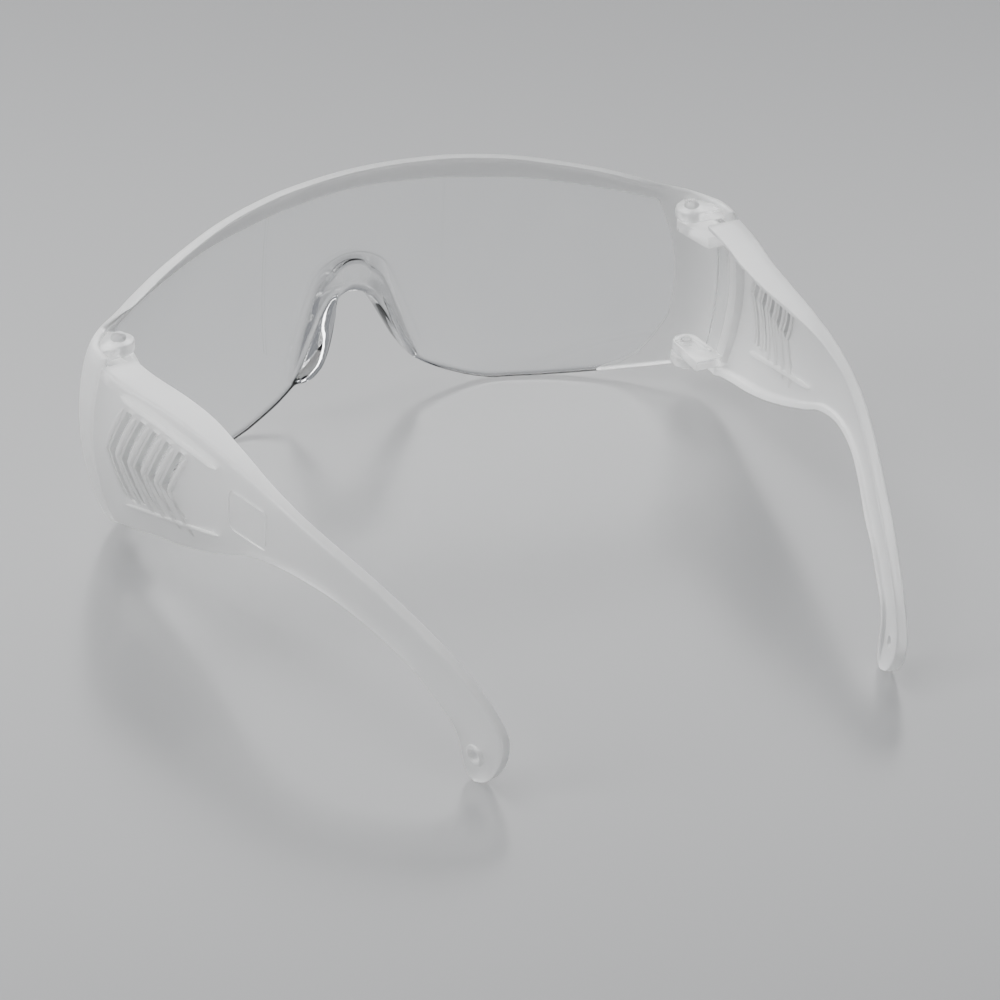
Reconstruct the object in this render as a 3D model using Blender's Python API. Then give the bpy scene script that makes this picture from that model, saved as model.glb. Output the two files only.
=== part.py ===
"""Wraparound safety glasses: a one-piece clear shield, two folding temples and four hinge pins.

Units are metres. +X is the wearer's left, the shield faces -Y, the temples run to +Y, +Z is up.
The glasses stand open on a table, on the two lower lobes of the shield and the temple tips.

The shield and the temples share one curved skin. A piece is first drawn flat, as
(run, height, depth): run is measured along the plan curve from the middle of the front, height
is above the table and depth is inward from the outer face. bend() then wraps it on the skin.
"""

import math

import bmesh
import bpy
from mathutils import Vector

# Plan curve of the outer skin, from the middle of the front round one side to the temple tip
FRONT_RADIUS = 0.132
FRONT_HALF_CHORD = 0.0770
CORNER_RADIUS = 0.0165
SIDE_RADIUS = 0.110
SIDE_TURN = math.radians(11)
PANEL_RUN = 0.042
ARM_RADIUS = 0.170
ARM_TURN = math.radians(9)

# Bulge of the skin from top to bottom: (run, radius of the bulge, height of its crest)
BULGE = [
    (0.000, 0.150, 0.032),
    (0.031, 0.134, 0.0315),
    (0.060, 0.090, 0.030),
    (0.100, 0.057, 0.030),
    (0.125, 0.036, 0.031),
    (0.165, 0.045, 0.035),
    (0.200, 0.070, 0.036),
    (0.240, 0.200, 0.012),
]

# Shield
SHIELD_WALL = 0.0022
BROW_BAND = 0.0072
BROW_CURL = 0.0030
BROW_FADE_START = 0.075
SHIELD_TOP = [
    (0.000, 0.0620),
    (0.021, 0.0614),
    (0.031, 0.0605),
    (0.041, 0.0593),
    (0.050, 0.0578),
    (0.060, 0.0560),
    (0.070, 0.0536),
    (0.080, 0.0508),
    (0.092, 0.0484),
    (0.112, 0.0478),
]
SHIELD_BOTTOM = [
    (0.0000, 0.0275),
    (0.0030, 0.0268),
    (0.0055, 0.0238),
    (0.0080, 0.0190),
    (0.0115, 0.0128),
    (0.0155, 0.0080),
    (0.0210, 0.0045),
    (0.0265, 0.0023),
    (0.0320, 0.0007),
    (0.0370, 0.0000),
    (0.0450, 0.0000),
    (0.0520, 0.0003),
    (0.0600, 0.0010),
    (0.0720, 0.0026),
    (0.0850, 0.0046),
    (0.1120, 0.0061),
]
SHIELD_ROWS = 9

# Nose rim, a thick flange round the notch of the shield that stands towards the face:
# (run, how far its crest lies outside the notch, how far it stands, how far out its foot lies)
NOSE_RIM = [
    (0.0000, 0.0026, 0.0020, 0.0084),
    (0.0030, 0.0021, 0.0024, 0.0063),
    (0.0040, 0.0018, 0.0037, 0.0058),
    (0.0054, 0.0013, 0.0048, 0.0051),
    (0.0065, 0.0011, 0.0055, 0.0046),
    (0.0075, 0.0009, 0.0059, 0.0043),
    (0.0090, 0.0007, 0.0062, 0.0040),
    (0.0108, 0.0006, 0.0062, 0.0034),
    (0.0121, 0.0007, 0.0057, 0.0029),
    (0.0137, 0.0008, 0.0045, 0.0022),
    (0.0150, 0.0008, 0.0026, 0.0020),
    (0.0160, 0.0007, 0.0008, 0.0018),
]
RIM_SHOULDER = 0.0012
RIM_CREST = 0.0007
RIM_LINING = 0.0004
RIM_STEPS = 17

# Hinges: upright axes behind the front, set in from the inner face of the side
HINGE_SETBACK = 0.0332
HINGE_INSET = 0.0020
UPPER_EAR = (0.0450, 0.0476)
UPPER_KNUCKLE = (0.0416, 0.0446)
LOWER_KNUCKLE = (0.0096, 0.0122)
LOWER_EAR = (0.0064, 0.0092)
EAR_RADIUS = 0.0037
KNUCKLE_RADIUS = 0.0032
KNUCKLE_CLEAR = 0.0034
EAR_REACH_FRONT = 0.0080
EAR_REACH_BACK = 0.0045
PIN_RADIUS = 0.0011
PIN_HEAD_RADIUS = 0.0018
PIN_HEAD_HEIGHT = 0.0017
PIN_CHAMFER = 0.0004
PIN_SEGMENTS = 16
FIT = 0.0003

# Temples
SEAM_SETBACK = 0.0083
SEAM_GAP = 0.0005
TONGUE_START = 0.0014
TONGUE_LAP = 0.0030
TONGUE_WALL = 0.0014
TEMPLE_WALL = 0.0018
TEMPLE_REACH = 0.1395
FLANGE_WALL = 0.0015
RIM_DEPTH = 0.0026
OUTER_ROWS = 8
INNER_ROWS = 6
SMOOTHING = 3

# Temple edges, as (distance behind the hinge, height) ...
TOP_EDGE = [
    (None, 0.0465),
    (0.019, 0.0466),
    (0.029, 0.0468),
    (0.040, 0.0470),
    (0.050, 0.0469),
    (0.059, 0.0465),
    (0.067, 0.0457),
]
BOTTOM_EDGE = [
    (None, 0.0066),
    (0.019, 0.0093),
    (0.029, 0.0120),
    (0.039, 0.0150),
    (0.049, 0.0188),
    (0.058, 0.0228),
    (0.066, 0.0266),
]
# ... and along the arm to the tip, as (distance ahead of its rearmost point, height)
TIP_TOP = [
    (0.0615, 0.0439),
    (0.0495, 0.0410),
    (0.0385, 0.0376),
    (0.0295, 0.0342),
    (0.0190, 0.0296),
    (0.0120, 0.0256),
    (0.0062, 0.0214),
    (0.0018, 0.0170),
    (0.0000, 0.0132),
    (0.0006, 0.0080),
    (0.0027, 0.0040),
    (0.0052, 0.0014),
    (0.0078, 0.0002),
]
TIP_BOTTOM = [
    (0.0625, 0.0289),
    (0.0505, 0.0288),
    (0.0405, 0.0266),
    (0.0315, 0.0232),
    (0.0255, 0.0208),
    (0.0195, 0.0167),
    (0.0145, 0.0128),
    (0.0124, 0.0090),
    (0.0119, 0.0062),
    (0.0116, 0.0040),
    (0.0110, 0.0020),
    (0.0101, 0.0008),
    (0.0089, 0.0001),
]
# Width of the flange along the top edge, by distance behind the hinge
TOP_FLANGE = [(0.008, 0.0085), (0.040, 0.0070), (0.055, 0.0050), (0.068, 0.0034), (0.080, 0.0026)]
BOTTOM_FLANGE = [(0.008, 0.0030), (0.030, 0.0032), (0.060, 0.0030), (0.075, 0.0026)]

# Louvres: chevron slots between two ridges, by distance behind the hinge and height
SLOTS = 5
SLOT_PITCH = 0.0049
SLOT_WIDTH = 0.0020
SLOT_TOP = (0.0215, 0.0418)
SLOT_ELBOW = (0.0165, 0.0305)
SLOT_BOTTOM = (0.0230, 0.0200)
SLOT_DROP_TOP = -0.0002
SLOT_DROP_BOTTOM = 0.0014
RIDGE_TOP = ((0.0180, 0.0438), (0.0545, 0.0427))
RIDGE_BOTTOM = ((0.0200, 0.0172), (0.0560, 0.0268))
RIDGE_WIDTH = 0.0013
RIDGE_STAND = 0.0006

# Blank pad pressed into the outer face, and the eyelet for a cord
PAD_FRONT = 0.0600
PAD_BACK = 0.0735
PAD_TOP = 0.0410
PAD_BOTTOM = 0.0312
PAD_SINK = 0.0004
PAD_CORNER = 0.0020
EYELET_AHEAD = 0.0075
EYELET_HEIGHT = 0.0074
EYELET_HOLE = 0.0013
EYELET_RING = 0.0026
EYELET_STAND = 0.0006

# Spacing of the cuts that let a flat piece bend
CUT_RUN = 0.0050
CUT_HEIGHT = 0.0060
SEGMENTS = 20

# How far a joined piece sinks into its neighbour, and how far a cutter runs past a wall
BITE = 0.0010
PAST = 0.0020
HAIR = 0.0001


def smooth(points, x):
    """Value at x of a smooth curve through (x, value, ...) points, without overshoot."""
    if x <= points[0][0]:
        return points[0][1]
    if x >= points[-1][0]:
        return points[-1][1]
    i = max(k for k in range(len(points) - 1) if points[k][0] <= x)
    slopes = [
        (b[1] - a[1]) / (b[0] - a[0]) for a, b in zip(points[:-1], points[1:])
    ]

    def tangent(k):
        if k == 0:
            return 0.0 if points[0][0] == 0 else slopes[0]
        if k == len(points) - 1:
            return slopes[-1]
        before, after = slopes[k - 1], slopes[k]
        return 0.0 if before * after <= 0 else 2 * before * after / (before + after)

    (x0, y0), (x1, y1) = points[i][:2], points[i + 1][:2]
    h = x1 - x0
    t = (x - x0) / h
    start, end = tangent(i) * h, tangent(i + 1) * h
    rise = y1 - y0
    return y0 + t * (start + t * (3 * rise - 2 * start - end + t * (start + end - 2 * rise)))


def refine(points, steps):
    """Catmull-Rom points through a list of 2-D points, steps to each stretch."""
    ends = [points[0]] + points + [points[-1]]
    found = []
    for a, b, c, d in zip(ends, ends[1:], ends[2:], ends[3:]):
        for k in range(steps):
            t = k / steps
            found.append(
                tuple(
                    0.5 * (2 * b[i] + t * (c[i] - a[i])
                           + t * t * (2 * a[i] - 5 * b[i] + 4 * c[i] - d[i])
                           + t ** 3 * (3 * b[i] - a[i] - 3 * c[i] + d[i]))
                    for i in (0, 1)
                )
            )
    return found + [points[-1]]


def plan_stretches():
    """(length, radius) of each stretch of the plan curve. A straight stretch has no radius."""
    front_turn = math.asin(FRONT_HALF_CHORD / FRONT_RADIUS)
    corner_turn = math.pi / 2 - front_turn
    return [
        (front_turn * FRONT_RADIUS, FRONT_RADIUS),
        (corner_turn * CORNER_RADIUS, CORNER_RADIUS),
        (SIDE_TURN * SIDE_RADIUS, SIDE_RADIUS),
        (PANEL_RUN, None),
        (ARM_TURN * ARM_RADIUS, ARM_RADIUS),
        (1.0, None),
    ]


def plan(run):
    """(x, y, heading) of the plan curve at a run. The front of the glasses is at y = 0."""
    side = -1 if run < 0 else 1
    left = abs(run)
    x, y, heading = 0.0, 0.0, 0.0
    for length, radius in plan_stretches():
        part = min(left, length)
        if radius is None:
            x += part * math.cos(heading)
            y += part * math.sin(heading)
        else:
            turned = heading + part / radius
            x += radius * (math.sin(turned) - math.sin(heading))
            y += radius * (math.cos(heading) - math.cos(turned))
            heading = turned
        left -= part
        if left <= 0:
            break
    return side * x, y, side * heading


def run_to(setback):
    """Run at which the side of the plan curve is this far behind the front."""
    low, high = 0.0, 0.6
    for _ in range(50):
        middle = (low + high) / 2
        if plan(middle)[1] < setback:
            low = middle
        else:
            high = middle
    return low


def bulge_in(run, height):
    """How far the skin has drawn in from the crest curve at a height."""
    radius = smooth([(row[0], row[1]) for row in BULGE], abs(run))
    crest = smooth([(row[0], row[2]) for row in BULGE], abs(run))
    return (height - crest) ** 2 / (2 * radius)


def brow_in(run, height):
    """How far the brow band curls back towards the forehead."""
    rise = height - (smooth(SHIELD_TOP, abs(run)) - BROW_BAND)
    fade = (run_to(HINGE_SETBACK) - abs(run)) / (run_to(HINGE_SETBACK) - BROW_FADE_START)
    if rise <= 0:
        return 0.0
    return BROW_CURL * (rise / BROW_BAND) ** 2 * min(1.0, max(0.0, fade))


def bend(run, height, depth, curl=False):
    """World point of a flat point. depth is inward from the outer skin."""
    x, y, heading = plan(run)
    inward = depth + bulge_in(run, height) + (brow_in(run, height) if curl else 0.0)
    side = -1 if run < 0 else 1
    return Vector(
        (x - side * math.sin(abs(heading)) * inward, y + math.cos(heading) * inward, height)
    )


def material(name, colour, roughness):
    made = bpy.data.materials.new(name)
    made.use_nodes = True
    shader = made.node_tree.nodes["Principled BSDF"]
    shader.inputs["Base Color"].default_value = (*colour, 1)
    shader.inputs["Roughness"].default_value = roughness
    shader.inputs["Metallic"].default_value = 0.0
    return made


def new_object(name, bm):
    mesh = bpy.data.meshes.new(name)
    bm.to_mesh(mesh)
    bm.free()
    made = bpy.data.objects.new(name, mesh)
    bpy.context.scene.collection.objects.link(made)
    return made


def combine(target, others, operation):
    """Boolean each of the others into the target and remove it."""
    for other in others:
        modifier = target.modifiers.new("combine", "BOOLEAN")
        modifier.operation = operation
        modifier.object = other
        modifier.solver = "EXACT"
        bpy.context.view_layer.update()
        graph = bpy.context.evaluated_depsgraph_get()
        result = bpy.data.meshes.new_from_object(target.evaluated_get(graph))
        target.modifiers.clear()
        target.data = result
        bpy.data.objects.remove(other)


def prism(outline, low, high, name="prism"):
    """Solid between two levels of the third coordinate, from an outline in the first two."""
    bm = bmesh.new()
    bottom = [bm.verts.new((a, b, low)) for a, b in outline]
    face = bm.faces.new(bottom)
    grown = bmesh.ops.extrude_face_region(bm, geom=[face])
    top = [v for v in grown["geom"] if isinstance(v, bmesh.types.BMVert)]
    bmesh.ops.translate(bm, verts=top, vec=(0, 0, high - low))
    bmesh.ops.recalc_face_normals(bm, faces=bm.faces)
    return new_object(name, bm)


def loft(rings, name):
    """Closed solid through a list of rings of points, each with the same count."""
    bm = bmesh.new()
    rows = [[bm.verts.new(point) for point in ring] for ring in rings]
    count = len(rings[0])
    for a, b in zip(rows[:-1], rows[1:]):
        for k in range(count):
            bm.faces.new((a[k], a[(k + 1) % count], b[(k + 1) % count], b[k]))
    bm.faces.new(list(reversed(rows[0])))
    bm.faces.new(rows[-1])
    bmesh.ops.recalc_face_normals(bm, faces=bm.faces)
    return new_object(name, bm)


def circle(centre, radius, segments=SEGMENTS):
    return [
        (centre[0] + radius * math.cos(2 * math.pi * k / segments),
         centre[1] + radius * math.sin(2 * math.pi * k / segments))
        for k in range(segments)
    ]


def hull(points):
    """Convex outline round 2-D points."""
    points = sorted(set(points))

    def half(ordered):
        kept = []
        for p in ordered:
            while len(kept) > 1:
                (ax, ay), (bx, by) = kept[-2], kept[-1]
                if (bx - ax) * (p[1] - ay) - (by - ay) * (p[0] - ax) > 1e-12:
                    break
                kept.pop()
            kept.append(p)
        return kept[:-1]

    return half(points) + half(points[::-1])


def in_strips(made):
    """The object with its faces cut at regular runs and heights, so that it can bend."""
    bm = bmesh.new()
    bm.from_mesh(made.data)
    for axis, spacing in ((0, CUT_RUN), (1, CUT_HEIGHT)):
        low = min(v.co[axis] for v in bm.verts)
        high = max(v.co[axis] for v in bm.verts)
        count = round((high - low) / spacing)
        normal = Vector((0, 0, 0))
        normal[axis] = 1
        for k in range(1, count):
            point = normal * (low + (high - low) * k / count)
            everything = bm.verts[:] + bm.edges[:] + bm.faces[:]
            bmesh.ops.bisect_plane(bm, geom=everything, plane_co=point, plane_no=normal, dist=2e-5)
    bm.to_mesh(made.data)
    bm.free()
    return made


def wrap(made, side):
    """Bend a flat object on to the skin of one side, with its faces kept outward."""
    bm = bmesh.new()
    bm.from_mesh(made.data)
    bmesh.ops.triangulate(bm, faces=[f for f in bm.faces if len(f.verts) > 4])
    for vert in bm.verts:
        run, height, level = vert.co
        vert.co = bend(side * run, height, -level)
    if side > 0:
        bmesh.ops.reverse_faces(bm, faces=bm.faces)
    bm.to_mesh(made.data)
    bm.free()


def shield_runs():
    """Runs of the shield's columns on one side, closer together round the nose and corners."""
    stops = ((0.0, 0.018, 15), (0.018, 0.076, 14), (0.076, run_to(HINGE_SETBACK + SEAM_SETBACK), 11))
    runs = []
    for start, end, steps in stops:
        runs += [start + (end - start) * k / steps for k in range(steps)]
    return runs + [stops[-1][1]]


def shield_skin():
    """The bare shield: a grid of columns on both faces, closed round its edge."""
    half = shield_runs()
    runs = [-run for run in reversed(half[1:])] + half
    bm = bmesh.new()
    faces = []
    for depth in (0.0, SHIELD_WALL):
        grid = []
        for run in runs:
            low = smooth(SHIELD_BOTTOM, abs(run))
            high = smooth(SHIELD_TOP, abs(run))
            column = []
            for k in range(SHIELD_ROWS + 1):
                height = low + (high - low) * k / SHIELD_ROWS
                column.append(bm.verts.new(bend(run, height, depth, curl=True)))
            grid.append(column)
        faces.append(grid)
    outer, inner = faces
    for a, b, flip in ((outer, outer, False), (inner, inner, True)):
        for i in range(len(runs) - 1):
            for k in range(SHIELD_ROWS):
                quad = [a[i][k], a[i + 1][k], a[i + 1][k + 1], a[i][k + 1]]
                bm.faces.new(reversed(quad) if flip else quad)
    rim = [(i, 0) for i in range(len(runs))]
    rim += [(len(runs) - 1, k) for k in range(1, SHIELD_ROWS + 1)]
    rim += [(i, SHIELD_ROWS) for i in range(len(runs) - 2, -1, -1)]
    rim += [(0, k) for k in range(SHIELD_ROWS - 1, 0, -1)]
    for (i, k), (j, m) in zip(rim, rim[1:] + rim[:1]):
        bm.faces.new((outer[j][m], outer[i][k], inner[i][k], inner[j][m]))
    bmesh.ops.recalc_face_normals(bm, faces=bm.faces)
    return new_object("shield", bm)


def nose_rim():
    """Flange round the nose notch, steep beside the nose and sloping away to the window."""
    limit = NOSE_RIM[-1][0]
    runs = [limit * math.sin(math.pi / 2 * k / RIM_STEPS) for k in range(RIM_STEPS + 1)]
    path = [(-run, smooth(SHIELD_BOTTOM, run)) for run in reversed(runs[1:])]
    path += [(run, smooth(SHIELD_BOTTOM, run)) for run in runs]
    rings = []
    for i, (run, height) in enumerate(path):
        before = path[max(0, i - 1)]
        after = path[min(len(path) - 1, i + 1)]
        along = Vector((after[0] - before[0], after[1] - before[1])).normalized()
        out = Vector((-along.y, along.x))
        crest, stand, foot = (
            smooth([(row[0], row[k]) for row in NOSE_RIM], abs(run)) for k in (1, 2, 3)
        )
        top = SHIELD_WALL + stand
        low = SHIELD_WALL + min(RIM_SHOULDER, stand / 2)
        fall = foot - crest - RIM_CREST
        ring = []
        for level, offset in (
            (RIM_LINING, -RIM_LINING),
            (SHIELD_WALL, -RIM_LINING),
            (SHIELD_WALL + stand / 2, crest / 4),
            (SHIELD_WALL + stand * 7 / 8, crest * 2 / 3),
            (top, crest),
            (top, crest + RIM_CREST),
            ((top + low) / 2, crest + RIM_CREST + fall / 3),
            (low, crest + RIM_CREST + fall * 3 / 4),
            (SHIELD_WALL / 2, foot),
            (SHIELD_WALL / 2, RIM_LINING),
            (RIM_LINING, RIM_LINING),
        ):
            side = out * offset
            ring.append(bend(run + side.x, height + side.y, level))
        rings.append(ring)
    return loft(rings, "nose_rim")


def hinge_point(side):
    """(x, y) of a hinge axis, set in from the inner face where the lower pin's head passes it."""
    lowest = LOWER_EAR[0] - FIT - PIN_HEAD_HEIGHT
    wall = bend(run_to(HINGE_SETBACK - 2 * PIN_HEAD_RADIUS), lowest, SHIELD_WALL)
    return side * (wall.x - HINGE_INSET), HINGE_SETBACK


def ear(side, levels):
    """Lug of the shield that holds a pin: a disc drawn out to the side wall."""
    centre = hinge_point(side)
    middle = (levels[0] + levels[1]) / 2
    wall = []
    for k in range(6):
        setback = HINGE_SETBACK - EAR_REACH_FRONT + (EAR_REACH_FRONT + EAR_REACH_BACK) * k / 5
        point = bend(side * run_to(setback), middle, SHIELD_WALL / 2)
        wall.append((point.x, point.y))
    return prism(hull(circle(centre, EAR_RADIUS) + wall), *levels, name="ear")


def bore(side, levels):
    """Cutter for a pin hole through one lug."""
    outline = circle(hinge_point(side), PIN_RADIUS + FIT)
    return prism(outline, levels[0] - BITE, levels[1] + BITE, name="bore")


def build_shield():
    shield = shield_skin()
    lugs = [ear(side, levels) for side in (-1, 1) for levels in (LOWER_EAR, UPPER_EAR)]
    combine(shield, [nose_rim()] + lugs, "UNION")
    holes = [bore(side, levels) for side in (-1, 1) for levels in (LOWER_EAR, UPPER_EAR)]
    combine(shield, holes, "DIFFERENCE")
    return shield


def behind_hinge(distance):
    return run_to(HINGE_SETBACK + distance)


def temple_edges():
    """Matching points of the temple's top and bottom edges, as (run, height)."""
    seam = SEAM_SETBACK + SEAM_GAP
    top = [(behind_hinge(seam if d is None else d), h) for d, h in TOP_EDGE]
    bottom = [(behind_hinge(seam if d is None else d), h) for d, h in BOTTOM_EDGE]
    top += [(behind_hinge(TEMPLE_REACH - d), h) for d, h in TIP_TOP]
    bottom += [(behind_hinge(TEMPLE_REACH - d), h) for d, h in TIP_BOTTOM]
    return refine(top, SMOOTHING), refine(bottom, SMOOTHING)


def temple_body():
    """The flat temple: channel sections from the seam, along the arm and round the tip."""
    top, bottom = temple_edges()
    last = len(top) - 1
    rings = []
    for i, (high, low) in enumerate(zip(top, bottom)):
        across = Vector((high[0] - low[0], high[1] - low[1]))
        width = across.length
        back = plan((high[0] + low[0]) / 2)[1] - HINGE_SETBACK
        lip = min(FLANGE_WALL, width / 3)
        upper = smooth(TOP_FLANGE, back)
        lower = smooth(BOTTOM_FLANGE, back)
        wall = RIM_DEPTH - HAIR if i > last - SMOOTHING - 1 else TEMPLE_WALL
        hollow = width - 2 * lip
        outer = [(width * k / OUTER_ROWS, 0) for k in range(OUTER_ROWS + 1)]
        inner = [(lip + hollow * (1 - k / INNER_ROWS), wall) for k in range(INNER_ROWS + 1)]
        section = outer + [(width, upper), (width - lip, upper)] + inner
        section += [(lip, lower), (0, lower)]
        across.normalize()
        rings.append(
            [(low[0] + across.x * q, low[1] + across.y * q, -depth) for q, depth in section]
        )
    return loft(rings, "temple")


def tongue():
    """Front lap of the temple, tucked inside the rear edge of the shield, and the step to it."""
    outer = SHIELD_WALL + FIT
    back = SEAM_SETBACK + TONGUE_LAP

    def panel(start, end, inset):
        low, high = LOWER_KNUCKLE[0] + inset, UPPER_KNUCKLE[1] - inset
        front, rear = behind_hinge(start), behind_hinge(end - inset)
        return [(front, low), (rear, low), (rear, high), (front, high)]

    lap = prism(panel(TONGUE_START, back, 0), -outer - TONGUE_WALL, -outer, name="lap")
    seam = SEAM_SETBACK + SEAM_GAP + HAIR
    step = prism(
        panel(seam, back, 2 * HAIR), -outer - TONGUE_WALL / 2, -TEMPLE_WALL / 2, name="step"
    )
    return [lap, step]


def chevrons():
    """Cutters for the louvre slots."""
    cutters = []
    for k in range(SLOTS):
        shift = k * SLOT_PITCH
        points = [
            (SLOT_TOP[0], SLOT_TOP[1] + k * SLOT_DROP_TOP),
            SLOT_ELBOW,
            (SLOT_BOTTOM[0], SLOT_BOTTOM[1] + k * SLOT_DROP_BOTTOM),
        ]
        front = [(behind_hinge(d + shift), h) for d, h in points]
        back = [(behind_hinge(d + shift + SLOT_WIDTH), h) for d, h in reversed(points)]
        cutters.append(prism(front + back, -TEMPLE_WALL - PAST, PAST, name="slot"))
    return cutters


def ridge(ends):
    """Raised border along the louvres."""
    (d0, h0), (d1, h1) = ends
    a = Vector((behind_hinge(d0), h0))
    b = Vector((behind_hinge(d1), h1))
    along = (b - a).normalized() * RIDGE_WIDTH / 2
    across = Vector((-along.y, along.x))
    outline = [tuple(a - across), tuple(b - across), tuple(b + across), tuple(a + across)]
    return prism(outline, -BITE, RIDGE_STAND, name="ridge")


def pad_cutter():
    """Cutter for the blank pad, with round corners."""
    points = []
    for d, h, start in (
        (PAD_BACK - PAD_CORNER, PAD_TOP - PAD_CORNER, 0),
        (PAD_FRONT + PAD_CORNER, PAD_TOP - PAD_CORNER, 90),
        (PAD_FRONT + PAD_CORNER, PAD_BOTTOM + PAD_CORNER, 180),
        (PAD_BACK - PAD_CORNER, PAD_BOTTOM + PAD_CORNER, 270),
    ):
        for k in range(4):
            angle = math.radians(start + 30 * k)
            ahead, up = PAD_CORNER * math.cos(angle), PAD_CORNER * math.sin(angle)
            points.append((behind_hinge(d + ahead), h + up))
    return prism(points, -PAD_SINK, PAST, name="pad")


def eyelet(radius, low, high):
    centre = (behind_hinge(TEMPLE_REACH - EYELET_AHEAD), EYELET_HEIGHT)
    return prism(circle(centre, radius, PIN_SEGMENTS), low, high, name="eyelet")


def knuckle(side, levels):
    """Tab of the temple round a pin, drawn back to the lap behind the shield."""
    back = SEAM_SETBACK + TONGUE_LAP
    tightest = max(levels, key=lambda height: bulge_in(behind_hinge(back), height))
    outline = circle(hinge_point(side), KNUCKLE_RADIUS)
    for setback, depth in (
        (SEAM_SETBACK - TONGUE_LAP, KNUCKLE_CLEAR),
        (SEAM_SETBACK + SEAM_GAP, KNUCKLE_CLEAR),
        (back, SHIELD_WALL + FIT),
        (back, KNUCKLE_CLEAR + 2 * KNUCKLE_RADIUS),
    ):
        point = bend(side * behind_hinge(setback), tightest, depth)
        outline.append((point.x, point.y))
    return prism(hull(outline), *levels, name="knuckle")


def build_temple(side, name):
    temple = temple_body()
    added = tongue() + [ridge(RIDGE_TOP), ridge(RIDGE_BOTTOM)]
    ring = eyelet(EYELET_RING, -BITE, EYELET_STAND)
    combine(temple, [in_strips(piece) for piece in added] + [ring], "UNION")
    hole = eyelet(EYELET_HOLE, -TEMPLE_WALL - PAST, PAST)
    combine(temple, chevrons() + [pad_cutter(), hole], "DIFFERENCE")
    wrap(temple, side)
    both = (LOWER_KNUCKLE, UPPER_KNUCKLE)
    combine(temple, [knuckle(side, levels) for levels in both], "UNION")
    combine(temple, [bore(side, levels) for levels in both], "DIFFERENCE")
    temple.name = name
    return temple


def build_pin(side, upper, name):
    """Turned pin with a domed head outside its ear, modelled about its own axis."""
    ear_levels, knuckle_levels = (
        (UPPER_EAR, UPPER_KNUCKLE) if upper else (LOWER_EAR, LOWER_KNUCKLE)
    )
    if upper:
        seat, end, way = ear_levels[1] + FIT, knuckle_levels[0] - PIN_CHAMFER, 1
    else:
        seat, end, way = ear_levels[0] - FIT, knuckle_levels[1] + PIN_CHAMFER, -1
    profile = [(0.0, end), (PIN_RADIUS - PIN_CHAMFER, end), (PIN_RADIUS, end + way * PIN_CHAMFER)]
    profile += [(PIN_RADIUS, seat), (PIN_HEAD_RADIUS, seat)]
    for k in range(1, 6):
        angle = math.pi / 2 * k / 6
        profile.append(
            (PIN_HEAD_RADIUS * math.cos(angle), seat + way * PIN_HEAD_HEIGHT * math.sin(angle))
        )
    profile.append((0.0, seat + way * PIN_HEAD_HEIGHT))
    x, y = hinge_point(side)
    bm = bmesh.new()
    rows = []
    for radius, height in profile:
        if radius == 0:
            rows.append([bm.verts.new((x, y, height))])
        else:
            rim = circle((x, y), radius, PIN_SEGMENTS)
            rows.append([bm.verts.new((*point, height)) for point in rim])
    for a, b in zip(rows[:-1], rows[1:]):
        for k in range(PIN_SEGMENTS):
            corners = [a[k % len(a)], a[(k + 1) % len(a)], b[(k + 1) % len(b)], b[k % len(b)]]
            bm.faces.new(list(dict.fromkeys(corners)))
    bmesh.ops.recalc_face_normals(bm, faces=bm.faces)
    return new_object(name, bm)


def settle(objects):
    """Centre the open glasses over the origin and stand them on z = 0."""
    points = [obj.matrix_world @ v.co for obj in objects for v in obj.data.vertices]
    middle = (min(p.y for p in points) + max(p.y for p in points)) / 2
    lowest = min(p.z for p in points)
    for obj in objects:
        for vert in obj.data.vertices:
            vert.co -= Vector((0, middle, lowest))
    return Vector((0, middle, lowest))


def set_origin(obj, point):
    """Put the object's origin on a point and leave its surface where it is."""
    for vert in obj.data.vertices:
        vert.co -= point
    obj.location = point


def main():
    for obj in list(bpy.data.objects):
        bpy.data.objects.remove(obj)
    clear = material("clear_polycarbonate", (0.92, 0.93, 0.94), 0.06)
    frosted = material("frosted_polycarbonate", (0.80, 0.80, 0.80), 0.42)
    shield = build_shield()
    temples = {1: build_temple(1, "temple_left"), -1: build_temple(-1, "temple_right")}
    pins = {}
    for side, hand in ((1, "left"), (-1, "right")):
        for upper, level in ((True, "upper"), (False, "lower")):
            pins[side, upper] = build_pin(side, upper, f"hinge_pin_{hand}_{level}")
    everything = [shield, *temples.values(), *pins.values()]
    shift = settle(everything)
    for (side, _), pin in pins.items():
        x, y = hinge_point(side)
        set_origin(pin, Vector((x, y, UPPER_EAR[0])) - shift)
    for side, temple in temples.items():
        x, y = hinge_point(side)
        set_origin(temple, Vector((x, y, UPPER_EAR[0])) - shift)
    for obj in everything:
        obj.data.materials.clear()
        obj.data.materials.append(frosted if obj in temples.values() else clear)
        obj.data.shade_smooth()
        obj.data.set_sharp_from_angle(angle=math.radians(35))


main()
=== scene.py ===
# %% [markdown]
# # Wraparound safety glasses in clear and frosted polycarbonate
#
# The glasses are four kinds of moulding. One clear shield wraps from temple to temple and carries
# its own nose rim. Two frosted temples are thin channels with louvres cut through their sides.
# Ears and knuckles meet at the corners, and a small pin holds each pair together.
#
# All of them follow one curved skin: a plan curve seen from above, and a bulge from top to
# bottom. So every piece here is drawn flat first, as (run, height, depth), and then bent on to
# the skin. Run is the distance along the plan curve from the middle of the front, height is
# above the table and depth is inward from the outer face. Lengths are metres.

import math

import bmesh
import bpy
from mathutils import Matrix, Vector


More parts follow.
